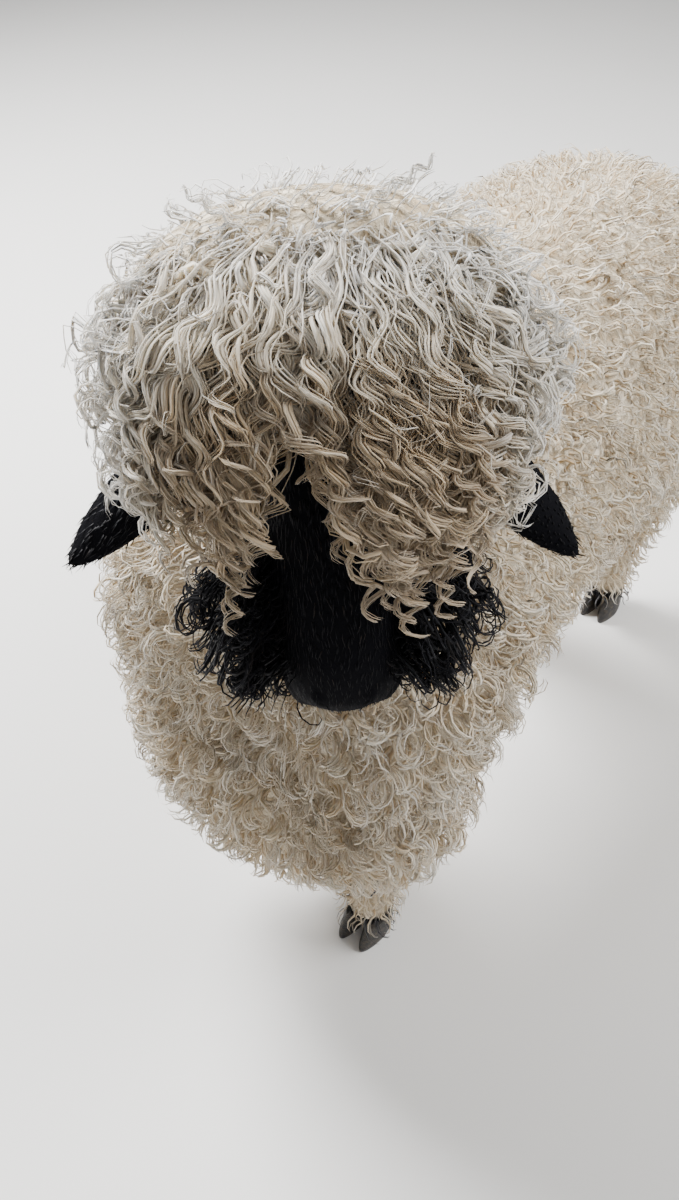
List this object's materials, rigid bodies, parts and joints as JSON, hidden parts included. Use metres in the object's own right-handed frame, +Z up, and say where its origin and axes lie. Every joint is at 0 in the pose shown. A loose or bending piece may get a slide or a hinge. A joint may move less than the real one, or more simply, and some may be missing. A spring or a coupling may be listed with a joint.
{
  "type": "valais blacknose sheep",
  "caption": "Life-size standing Valais Blacknose sheep in a short step, long curly cream fleece, black face, ears and hooves, head turned to its left.",
  "frame": {"origin": "on the floor, below the middle of the animal's bounding box", "axes": "+X to the animal's left, the animal faces -Y, +Z up; its longest extent lies along Y"},
  "size_m": [0.4196, 0.9382, 0.8567],
  "materials": {
    "wool": "cream-white curly wool, matt",
    "black_hide": "near-black short hair and wool, matt",
    "hoof_horn": "black horn, slightly glossy",
    "eye": "wet dark brown"
  },
  "bodies": {
    "root": {"torso": "wool", "neck": "wool", "head": "black_hide", "tail": "wool", "ear_left": "black_hide", "ear_right": "black_hide", "eye_left": "eye", "eye_right": "eye", "leg_front_left": "wool", "leg_front_right": "wool", "leg_hind_left": "wool", "leg_hind_right": "wool", "hoof_front_left_inner": "hoof_horn", "hoof_front_left_outer": "hoof_horn", "hoof_front_right_inner": "hoof_horn", "hoof_front_right_outer": "hoof_horn", "hoof_hind_left_inner": "hoof_horn", "hoof_hind_left_outer": "hoof_horn", "hoof_hind_right_inner": "hoof_horn", "hoof_hind_right_outer": "hoof_horn"}
  },
  "joints": []
}
